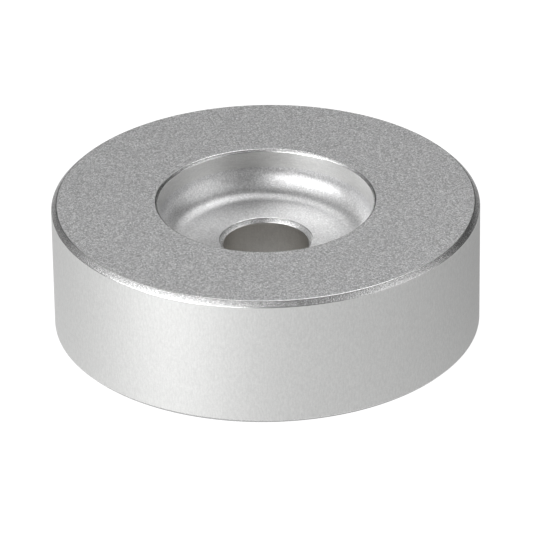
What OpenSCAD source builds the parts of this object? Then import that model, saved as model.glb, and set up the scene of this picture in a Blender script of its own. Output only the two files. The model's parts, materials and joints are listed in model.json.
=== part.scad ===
// Record spindle adapter: a turned aluminium puck for records with a large centre hole.
// It drops over the turntable's spindle, and the record's hole centres on its rim.
// The finger recess in the top lets it be lifted off again.
// Millimetres, +Z up. The origin is on the axis, in the face that rests on the platter.

/* [Puck] */
// Outer diameter, a slip fit in the record's large centre hole
puck_d = 38; // [34:0.1:44]
// Overall height, from the platter to the top face
puck_h = 11.9; // [10:0.1:20]
// Chamfer round the top outer edge, which leads the record on
top_chamfer = 0.45; // [0.1:0.05:2]
// Chamfer round the bottom outer edge
base_chamfer = 0.3; // [0.1:0.05:2]

/* [Finger recess] */
// Diameter of the recess at its straight wall
recess_d = 19.1; // [15:0.1:28]
// Depth of the recess, from the top face to its flat floor
recess_depth = 4; // [1.5:0.1:6]
// Radius of the hollow fillet between the wall and the floor
recess_fillet = 2.3; // [0.2:0.1:5]
// Bevel round the rim of the recess
rim_bevel = 0.2; // [0.1:0.05:0.9]

/* [Spindle bore] */
// Diameter of the bore, a free fit on the spindle
bore_d = 7.55; // [6:0.05:10]
// Chamfer at the top of the bore, in the floor of the recess
bore_top_chamfer = 0.35; // [0.1:0.05:1.5]
// Chamfer at the bottom of the bore, which leads the spindle in
bore_base_chamfer = 0.3; // [0.1:0.05:1.5]

/* [Hidden] */
$fn = 180;
// How far a cut runs past the face it opens through
overcut = 1;
puck_r = puck_d / 2;
recess_r = recess_d / 2;
bore_r = bore_d / 2;
floor_z = puck_h - recess_depth;
// The fillet is limited by the wall above it and by the floor inside it
fillet_room = min(recess_depth - rim_bevel, recess_r - bore_r - bore_top_chamfer);
fillet_r = min(recess_fillet, fillet_room);

// Half section of the solid blank: a disc with both outer edges chamfered
module blank_section() {
    polygon([
        [0, 0],
        [puck_r - base_chamfer, 0],
        [puck_r, base_chamfer],
        [puck_r, puck_h - top_chamfer],
        [puck_r - top_chamfer, puck_h],
        [0, puck_h]
    ]);
}

// Half section of a 45 degree countersink that opens upwards at height z
module countersink_section(hole_r, size, z) {
    polygon([
        [0, z - size],
        [hole_r, z - size],
        [hole_r + size + overcut, z + overcut],
        [0, z + overcut]
    ]);
}

// Half section of the recess: straight wall, hollow fillet, flat floor
module recess_section() {
    translate([0, floor_z])
        square([recess_r - fillet_r, recess_depth + overcut]);
    translate([0, floor_z + fillet_r])
        square([recess_r, recess_depth - fillet_r + overcut]);
    intersection() {
        translate([recess_r - fillet_r, floor_z + fillet_r])
            circle(r = fillet_r);
        translate([recess_r - fillet_r, floor_z])
            square(fillet_r);
    }
    countersink_section(recess_r, rim_bevel, puck_h);
}

// Half section of the bore, with a countersink at either end
module bore_section() {
    translate([0, -overcut])
        square([bore_r, puck_h + 2 * overcut]);
    countersink_section(bore_r, bore_top_chamfer, floor_z);
    mirror([0, 1])
        countersink_section(bore_r, bore_base_chamfer, 0);
}

// The whole adapter, turned from one bar
module adapter_body() {
    color("silver")
        rotate_extrude()
            difference() {
                blank_section();
                recess_section();
                bore_section();
            }
}

adapter_body();
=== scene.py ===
import json
from math import cos, hypot, pi, radians, sin, tan

import bpy
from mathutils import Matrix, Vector


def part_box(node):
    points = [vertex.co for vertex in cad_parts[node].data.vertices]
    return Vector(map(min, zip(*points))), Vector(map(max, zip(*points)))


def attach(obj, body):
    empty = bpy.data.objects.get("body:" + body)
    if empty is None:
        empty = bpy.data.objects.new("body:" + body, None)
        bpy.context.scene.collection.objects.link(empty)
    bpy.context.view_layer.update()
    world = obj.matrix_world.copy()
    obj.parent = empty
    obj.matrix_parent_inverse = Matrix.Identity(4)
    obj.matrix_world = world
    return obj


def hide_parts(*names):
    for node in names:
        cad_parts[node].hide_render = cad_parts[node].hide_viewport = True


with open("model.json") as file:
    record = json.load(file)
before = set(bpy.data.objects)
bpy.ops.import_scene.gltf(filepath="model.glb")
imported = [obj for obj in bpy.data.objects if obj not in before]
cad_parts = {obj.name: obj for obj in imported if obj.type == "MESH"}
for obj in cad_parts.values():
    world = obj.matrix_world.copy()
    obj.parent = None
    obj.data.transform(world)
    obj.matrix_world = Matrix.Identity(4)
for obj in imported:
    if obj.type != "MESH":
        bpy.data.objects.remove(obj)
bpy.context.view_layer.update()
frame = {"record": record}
print("frame loaded")


# how the photograph was taken, in metres
photo = {
    "elevation": radians(28.6),  # how far the lens looks down
    "distance": 0.469,
    "aimAbove": 0.00451,  # the picture's middle passes this far above the origin
    "roll": radians(-0.83),
    "lens": 353.4,  # millimetres, with the sensor below
    "sensor": 36.0,
}


def placeCamera(shot):
    tilt = shot["elevation"]
    lift = Vector((0, sin(tilt), cos(tilt))) * shot["aimAbove"]
    back = Vector((0, -cos(tilt), sin(tilt))) * shot["distance"]
    bpy.ops.object.camera_add(location=back + lift)
    camera = bpy.context.object
    camera.name = "photoCamera"
    camera.rotation_mode = "ZYX"  # the roll about the lens comes first, then the tilt
    camera.rotation_euler = (radians(90) - tilt, 0, shot["roll"])
    camera.data.lens = shot["lens"]
    camera.data.sensor_width = shot["sensor"]
    bpy.context.scene.camera = camera


placeCamera(photo)
print("camera placed")


# the turned puck, in metres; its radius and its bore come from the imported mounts
mounts = {mount["name"]: mount["dims"] for mount in frame["record"]["mounts"]}
puck = {
    "radius": mounts["record_seat"]["r_mm"] / 1000,
    "height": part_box("adapter_body")[1].z,
    "boreRadius": mounts["spindle_bore"]["r_mm"] / 1000,
    "topChamfer": 0.00045,
    "baseChamfer": 0.0003,
    "recessRadius": 0.00955,
    "recessDepth": 0.004,
    "recessFillet": 0.0023,
    "rimBevel": 0.0002,
    "boreTopChamfer": 0.00035,
    "boreBaseChamfer": 0.0003,
    "edgeBreak": 0.00005,  # what tumbling takes off each sharp edge
    "sharp": radians(30),  # an edge that turns by more than this counts as sharp
    "steps": 384,  # facets round the axis
    "filletSteps": 16,
    "breakSteps": 3,
}
puck["floorHeight"] = puck["height"] - puck["recessDepth"]
near = 0.00002  # how close a place must be to another to count as the same


def dropSelection():  # back to object mode with nothing of the mesh selected
    bpy.ops.object.mode_set(mode="EDIT")
    bpy.ops.mesh.select_all(action="DESELECT")
    bpy.ops.object.mode_set(mode="OBJECT")
    return bpy.context.object.data


def selectCaps(*heights):  # the many-sided flat faces at these heights
    mesh = dropSelection()
    for face in mesh.polygons:
        wanted = any(abs(face.center.z - height) < near for height in heights)
        face.select = wanted and len(face.vertices) > 4
    bpy.ops.object.mode_set(mode="EDIT")


def selectRing(radius, height):  # the loop of edges round the axis at this place
    mesh = dropSelection()
    onRing = {
        point.index
        for point in mesh.vertices
        if abs(hypot(point.co.x, point.co.y) - radius) < near
        and abs(point.co.z - height) < near
    }
    for edge in mesh.edges:
        edge.select = all(end in onRing for end in edge.vertices)
    bpy.ops.object.mode_set(mode="EDIT")


def turnPuck(sizes):
    radius, height, floorHeight = sizes["radius"], sizes["height"], sizes["floorHeight"]
    recessRadius, boreRadius = sizes["recessRadius"], sizes["boreRadius"]
    bpy.ops.object.select_all(action="DESELECT")
    bpy.ops.mesh.primitive_cylinder_add(
        vertices=sizes["steps"], radius=radius, depth=height,
        location=(0, 0, height / 2), end_fill_type="NGON",
    )
    piece = bpy.context.object
    piece.name = "adapterPuck"
    bpy.ops.object.transform_apply(location=True, rotation=True, scale=True)
    bpy.ops.object.mode_set(mode="EDIT")
    bpy.ops.mesh.select_mode(type="FACE")

    # the recess is sunk from the top face
    selectCaps(height)
    bpy.ops.mesh.inset(thickness=radius - recessRadius)
    bpy.ops.mesh.extrude_region_move(
        TRANSFORM_OT_translate={"value": (0, 0, -sizes["recessDepth"])}
    )
    bpy.ops.mesh.inset(thickness=recessRadius - boreRadius)

    # the bore joins the recess's floor to the underside
    selectCaps(0)
    bpy.ops.mesh.inset(thickness=radius - boreRadius)
    selectCaps(0, floorHeight)
    bpy.ops.mesh.bridge_edge_loops()

    # chamfers, bevel and fillet
    bpy.ops.mesh.select_mode(type="EDGE")
    cuts = [
        (radius, height, sizes["topChamfer"], 1),
        (radius, 0, sizes["baseChamfer"], 1),
        (recessRadius, height, sizes["rimBevel"], 1),
        (recessRadius, floorHeight, sizes["recessFillet"], sizes["filletSteps"]),
        (boreRadius, floorHeight, sizes["boreTopChamfer"], 1),
        (boreRadius, 0, sizes["boreBaseChamfer"], 1),
    ]
    for ringRadius, ringHeight, size, steps in cuts:
        selectRing(ringRadius, ringHeight)
        bpy.ops.mesh.bevel(offset=size, segments=steps, profile=0.5, affect="EDGES")

    # every edge that is still sharp is broken a little
    bpy.ops.mesh.select_all(action="DESELECT")
    bpy.ops.mesh.edges_select_sharp(sharpness=sizes["sharp"])
    bpy.ops.mesh.bevel(
        offset=sizes["edgeBreak"], segments=sizes["breakSteps"], profile=0.5, affect="EDGES"
    )
    bpy.ops.mesh.select_all(action="SELECT")
    bpy.ops.mesh.normals_make_consistent(inside=False)
    bpy.ops.object.mode_set(mode="OBJECT")
    bpy.ops.object.shade_smooth()
    piece.modifiers.new("Flats", "WEIGHTED_NORMAL").keep_sharp = True
    bpy.ops.object.modifier_apply(modifier="Flats")
    return piece


adapterPuck = turnPuck(puck)
print("puck turned,", len(adapterPuck.data.polygons), "faces")


def makeGroup(name, inputs, outputs):
    group = bpy.data.node_groups.new(name, "ShaderNodeTree")
    for way, labels in (("INPUT", inputs), ("OUTPUT", outputs)):
        for label in labels:
            group.interface.new_socket(label, in_out=way, socket_type="NodeSocketFloat")
    return group, group.nodes.new("NodeGroupInput"), group.nodes.new("NodeGroupOutput")


def addMaths(nodes, operation, kind="ShaderNodeMath"):
    node = nodes.new(kind)
    node.operation = operation
    return node


# what every finish shares in its dimples and tool marks
pattern = {
    "paintedGlint": 1.5,  # above 1, so that only a few dimples are much lighter: a painted glint in their colour
    "markDetail": 2,
    "markRange": (0.3, 0.7),  # most of the noise lies in here, and takes up all the shades
}


# the tiny dimples left by blasting: their height in metres, and a tone for each one, random grain whose
# brightest dimples are painted glints
def makeBlastGrain():
    group, given, result = makeGroup(
        "blastGrain", ["Dimples Per Metre", "Depth"], ["Height", "Speckle"]
    )
    nodes, links = group.nodes, group.links
    place = nodes.new("ShaderNodeTexCoord")
    dimples = nodes.new("ShaderNodeTexVoronoi")
    links.new(place.outputs["Object"], dimples.inputs["Vector"])
    links.new(given.outputs["Dimples Per Metre"], dimples.inputs["Scale"])
    deep = addMaths(nodes, "MULTIPLY")
    links.new(dimples.outputs["Distance"], deep.inputs[0])
    links.new(given.outputs["Depth"], deep.inputs[1])
    apart = nodes.new("ShaderNodeSeparateColor")
    links.new(dimples.outputs["Color"], apart.inputs["Color"])
    # painted glints: the power leaves most dimples dim in colour and makes a few bright
    paintedGlint = addMaths(nodes, "POWER")
    paintedGlint.inputs[1].default_value = pattern["paintedGlint"]
    links.new(apart.outputs["Red"], paintedGlint.inputs[0])
    links.new(deep.outputs["Value"], result.inputs["Height"])
    links.new(paintedGlint.outputs["Value"], result.inputs["Speckle"])
    return group


# marks of the lathe, drawn out up the part or round it by the two frequencies
def makeToolMarks():
    group, given, result = makeGroup(
        "toolMarks", ["Round Per Metre", "Up Per Metre", "Depth"], ["Height", "Shade"]
    )
    nodes, links = group.nodes, group.links
    place = nodes.new("ShaderNodeTexCoord")
    drawn = nodes.new("ShaderNodeCombineXYZ")
    for axis in "XY":
        links.new(given.outputs["Round Per Metre"], drawn.inputs[axis])
    links.new(given.outputs["Up Per Metre"], drawn.inputs["Z"])
    spread = addMaths(nodes, "MULTIPLY", "ShaderNodeVectorMath")
    links.new(place.outputs["Object"], spread.inputs[0])
    links.new(drawn.outputs["Vector"], spread.inputs[1])
    marks = nodes.new("ShaderNodeTexNoise")
    marks.inputs["Scale"].default_value = 1  # the frequencies have scaled the place already
    marks.inputs["Detail"].default_value = pattern["markDetail"]
    links.new(spread.outputs["Vector"], marks.inputs["Vector"])
    deep = addMaths(nodes, "MULTIPLY")
    links.new(marks.outputs["Fac"], deep.inputs[0])
    links.new(given.outputs["Depth"], deep.inputs[1])
    clear = nodes.new("ShaderNodeMapRange")
    clear.inputs["From Min"].default_value, clear.inputs["From Max"].default_value = pattern["markRange"]
    links.new(marks.outputs["Fac"], clear.inputs["Value"])
    links.new(deep.outputs["Value"], result.inputs["Height"])
    links.new(clear.outputs["Result"], result.inputs["Shade"])
    return group


blastGrain = makeBlastGrain()
toolMarks = makeToolMarks()

# the puck's finishes: tone of the metal, how rough it is, dimples per metre, their depth
# in metres and contrast (grain and painted glints), then the tool marks' frequency round and up, depth
# and contrast
finishes = {
    "blastedFace": {
        "tone": (0.74, 0.74, 0.745), "roughness": 0.45,
        "dimples": 13000, "dimpleDepth": 0.00002, "speckle": 0.42,
        "round": 2500, "up": 2500, "markDepth": 0.000002, "streak": 0.03,
    },
    "satinRim": {
        "tone": (0.73, 0.732, 0.725), "roughness": 0.5,
        "dimples": 12000, "dimpleDepth": 0.000001, "speckle": 0.03,
        "round": 7000, "up": 2500, "markDepth": 0.0000004, "streak": 0.05,
    },
    "brightCut": {
        "tone": (0.83, 0.83, 0.83), "roughness": 0.23,
        "dimples": 12000, "dimpleDepth": 0.000015, "speckle": 0.2,
        "round": 3000, "up": 3000, "markDepth": 0.000001, "streak": 0.02,
    },
    "brightEdge": {
        "tone": (0.84, 0.84, 0.84), "roughness": 0.16,
        "dimples": 15000, "dimpleDepth": 0.000002, "speckle": 0.15,
        "round": 3000, "up": 3000, "markDepth": 0.000001, "streak": 0.04,
    },
    "turnedWall": {
        "tone": (0.79, 0.79, 0.78), "roughness": 0.42,
        "dimples": 12000, "dimpleDepth": 0.000001, "speckle": 0.05,
        "round": 1500, "up": 8000, "markDepth": 0.0000005, "streak": 0.05,
    },
    "recessBowl": {
        "tone": (0.79, 0.79, 0.795), "roughness": 0.33,
        "dimples": 12000, "dimpleDepth": 0.00001, "speckle": 0.2,
        "round": 3000, "up": 3000, "markDepth": 0.0000005, "streak": 0.015,
    },
    "reamedBore": {
        "tone": (0.8, 0.785, 0.76), "roughness": 0.33,
        "dimples": 12000, "dimpleDepth": 0.000001, "speckle": 0.05,
        "round": 6000, "up": 1500, "markDepth": 0.0000005, "streak": 0.04,
    },
}


def makeFinish(name, look):
    made = bpy.data.materials.new(name)
    made.use_nodes = True
    nodes, links = made.node_tree.nodes, made.node_tree.links
    shader = nodes["Principled BSDF"]
    shader.inputs["Metallic"].default_value = 1
    shader.inputs["Roughness"].default_value = look["roughness"]

    grain = nodes.new("ShaderNodeGroup")
    grain.node_tree = blastGrain
    grain.inputs["Dimples Per Metre"].default_value = look["dimples"]
    grain.inputs["Depth"].default_value = look["dimpleDepth"]
    marks = nodes.new("ShaderNodeGroup")
    marks.node_tree = toolMarks
    marks.inputs["Round Per Metre"].default_value = look["round"]
    marks.inputs["Up Per Metre"].default_value = look["up"]
    marks.inputs["Depth"].default_value = look["markDepth"]

    relief = nodes.new("ShaderNodeBump")
    relief.inputs["Distance"].default_value = 1  # the heights are already in metres
    height = addMaths(nodes, "ADD")
    links.new(grain.outputs["Height"], height.inputs[0])
    links.new(marks.outputs["Height"], height.inputs[1])
    links.new(height.outputs["Value"], relief.inputs["Height"])
    links.new(relief.outputs["Normal"], shader.inputs["Normal"])

    # each dimple and each mark is a little lighter or darker than the metal's tone: random grain, and
    # painted glints on the lightest dimples
    colour = None
    for source, socket, contrast in ((grain, "Speckle", "speckle"), (marks, "Shade", "streak")):
        step = nodes.new("ShaderNodeMapRange")
        step.inputs["To Min"].default_value = 1 - look[contrast]
        step.inputs["To Max"].default_value = 1 + look[contrast]
        links.new(source.outputs[socket], step.inputs["Value"])
        tint = addMaths(nodes, "SCALE", "ShaderNodeVectorMath")
        if colour:
            links.new(colour, tint.inputs[0])
        else:
            tint.inputs[0].default_value = look["tone"]
        links.new(step.outputs["Result"], tint.inputs["Scale"])
        colour = tint.outputs["Vector"]
    links.new(colour, shader.inputs["Base Color"])
    return made


slack = 0.02  # how far a normal's upward part may be from the one looked for
levelFrom = 0.999  # a face whose normal points up or down by more than this is level


def finishOf(face, sizes):
    radius, height = hypot(face.center.x, face.center.y), face.center.z
    floorHeight, fillet = sizes["floorHeight"], sizes["recessFillet"]
    upward = abs(face.normal.z)  # 0 on a wall, 1 on a level face
    if upward < slack:
        if radius > sizes["radius"] - near:
            return "satinRim"
        return "reamedBore" if radius < sizes["boreRadius"] + near else "turnedWall"
    if upward > levelFrom:
        return "recessBowl" if abs(height - floorHeight) < near else "blastedFace"
    if sizes["recessRadius"] - fillet - near < radius < sizes["recessRadius"]:
        if floorHeight < height < floorHeight + fillet + near:
            return "recessBowl"
    onChamfer = abs(upward - cos(radians(45))) < slack
    return "brightCut" if onChamfer else "brightEdge"


def finishPuck(piece, sizes):
    names = list(finishes)
    for name in names:
        piece.data.materials.append(makeFinish(name, finishes[name]))
    for face in piece.data.polygons:
        face.material_index = names.index(finishOf(face, sizes))


finishPuck(adapterPuck, puck)
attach(adapterPuck, "root")
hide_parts("adapter_body")
print("finishes laid on")


# studio: directions in degrees round the puck (0 right, 90 back), widths and heights
# as angles seen from it, brightness as the radiance of the box's face
softboxes = {
    "keyLow": {"azimuth": 223, "elevation": 4, "width": 28, "height": 8, "bright": 18.0},
    "keyMiddle": {"azimuth": 222, "elevation": 24, "width": 70, "height": 32, "bright": 2.2},
    "keyHigh": {"azimuth": 222, "elevation": 55, "width": 48, "height": 30, "bright": 0.9},
    "overhead": {"azimuth": 75, "elevation": 65, "width": 34, "height": 21, "bright": 2.5},
    "fill": {"azimuth": 344, "elevation": 32, "width": 48, "height": 48, "bright": 0.66},
    "back": {"azimuth": 80, "elevation": 48, "width": 52, "height": 24, "bright": 0.6},
    "left": {"azimuth": 165, "elevation": 40, "width": 34, "height": 36, "bright": 0.4},
}
studio = {
    "reach": 0.6,  # from the puck to each box, in metres
    "keySide": 245,  # the room, and the table's painted light, glow most toward this azimuth
    "roomGlow": (0.06, 0.24),  # away from the key light and toward it
    # the table's painted light: a glow standing in for the key's light on the paper, weaker away from
    # the key and stronger toward it
    "paintedTableGlow": (0.34, 0.72),
    "tableSize": 4.0,
    "tableDrop": 0.00005,  # keeps the paper out of the underside's own plane
    "paperTone": 0.1,
    "paperRoughness": 0.9,
    "paintedShadowRadius": 0.0188,  # a painted shadow: less glow comes up under the puck
    "paintedShadowEdge": 0.0001,
    "paintedShadowGlow": 0.5,
}


def hangSoftbox(name, box):
    around, up = radians(box["azimuth"]), radians(box["elevation"])
    away = Vector((cos(around) * cos(up), sin(around) * cos(up), sin(up)))
    bpy.ops.object.light_add(type="AREA", location=away * studio["reach"])
    lamp = bpy.context.object
    lamp.name = name
    lamp.rotation_mode = "QUATERNION"
    lamp.rotation_quaternion = away.to_track_quat("Z", "Y")
    lamp.visible_camera = False
    wide, tall = (2 * studio["reach"] * tan(radians(box[side]) / 2) for side in ("width", "height"))
    lamp.data.shape = "RECTANGLE"
    lamp.data.size = wide
    lamp.data.size_y = tall
    lamp.data.energy = box["bright"] * pi * wide * tall


for name, box in softboxes.items():
    hangSoftbox(name, box)


# a glow that grows from one side of the studio to the other
def makeSideGlow(tree, place, glows):
    outward = addMaths(tree.nodes, "NORMALIZE", "ShaderNodeVectorMath")
    toward = addMaths(tree.nodes, "DOT_PRODUCT", "ShaderNodeVectorMath")
    side = radians(studio["keySide"])
    toward.inputs[1].default_value = (cos(side), sin(side), 0)
    glow = tree.nodes.new("ShaderNodeMapRange")
    glow.inputs["From Min"].default_value = -1
    glow.inputs["To Min"].default_value, glow.inputs["To Max"].default_value = glows
    tree.links.new(place, outward.inputs[0])
    tree.links.new(outward.outputs["Vector"], toward.inputs[0])
    tree.links.new(toward.outputs["Value"], glow.inputs["Value"])
    return glow.outputs["Result"]


# white paper: plain white where the lens sees it; to the metal it sends a painted glow, a pool of the
# key's light with a painted shadow under the puck
def makePaper():
    paper = bpy.data.materials.new("paperWithPaintedLight")
    paper.use_nodes = True
    nodes, links = paper.node_tree.nodes, paper.node_tree.links
    lit = nodes["Principled BSDF"]
    tone = studio["paperTone"]
    lit.inputs["Base Color"].default_value = (tone, tone, tone, 1)
    lit.inputs["Roughness"].default_value = studio["paperRoughness"]
    lit.inputs["Specular IOR Level"].default_value = 0
    lit.inputs["Emission Color"].default_value = (1, 1, 1, 1)

    # painted light: the paper glows brighter toward the key side, as a pool of the key's light
    place = nodes.new("ShaderNodeTexCoord").outputs["Object"]
    glow = makeSideGlow(paper.node_tree, place, studio["paintedTableGlow"])
    # painted shadow: the paper's glow is dimmed under the puck
    outFrom = addMaths(nodes, "LENGTH", "ShaderNodeVectorMath")
    shade = nodes.new("ShaderNodeMapRange")
    shade.inputs["From Min"].default_value = studio["paintedShadowRadius"]
    shade.inputs["From Max"].default_value = studio["paintedShadowRadius"] + studio["paintedShadowEdge"]
    shade.inputs["To Min"].default_value = studio["paintedShadowGlow"]
    soft = addMaths(nodes, "MULTIPLY")
    links.new(place, outFrom.inputs[0])
    links.new(outFrom.outputs["Value"], shade.inputs["Value"])
    links.new(glow, soft.inputs[0])
    links.new(shade.outputs["Result"], soft.inputs[1])

    seen = nodes.new("ShaderNodeLightPath").outputs["Is Camera Ray"]
    shown = nodes.new("ShaderNodeMix")
    shown.inputs["B"].default_value = 1
    links.new(seen, shown.inputs["Factor"])
    links.new(soft.outputs["Value"], shown.inputs["A"])
    links.new(shown.outputs["Result"], lit.inputs["Emission Strength"])

    # a lens under the table looks up through it at the puck's underside
    behind = nodes.new("ShaderNodeNewGeometry").outputs["Backfacing"]
    below = addMaths(nodes, "MULTIPLY")
    solid = addMaths(nodes, "SUBTRACT")
    solid.inputs[0].default_value = 1
    links.new(seen, below.inputs[0])
    links.new(behind, below.inputs[1])
    links.new(below.outputs["Value"], solid.inputs[1])
    links.new(solid.outputs["Value"], lit.inputs["Alpha"])
    return paper


def layTable():
    bpy.ops.mesh.primitive_plane_add(
        size=studio["tableSize"], location=(0, 0, -studio["tableDrop"])
    )
    table = bpy.context.object
    table.name = "table"
    table.data.materials.append(makePaper())


def lightRoom():
    room = bpy.data.worlds.new("studio")
    room.use_nodes = True
    nodes, links = room.node_tree.nodes, room.node_tree.links
    wall = nodes["Background"]
    wall.inputs["Color"].default_value = (1, 1, 1, 1)
    place = nodes.new("ShaderNodeTexCoord").outputs["Generated"]
    links.new(makeSideGlow(room.node_tree, place, studio["roomGlow"]), wall.inputs["Strength"])
    bpy.context.scene.world = room


layTable()
lightRoom()
bpy.context.scene.view_settings.view_transform = "Standard"
print("studio lit")
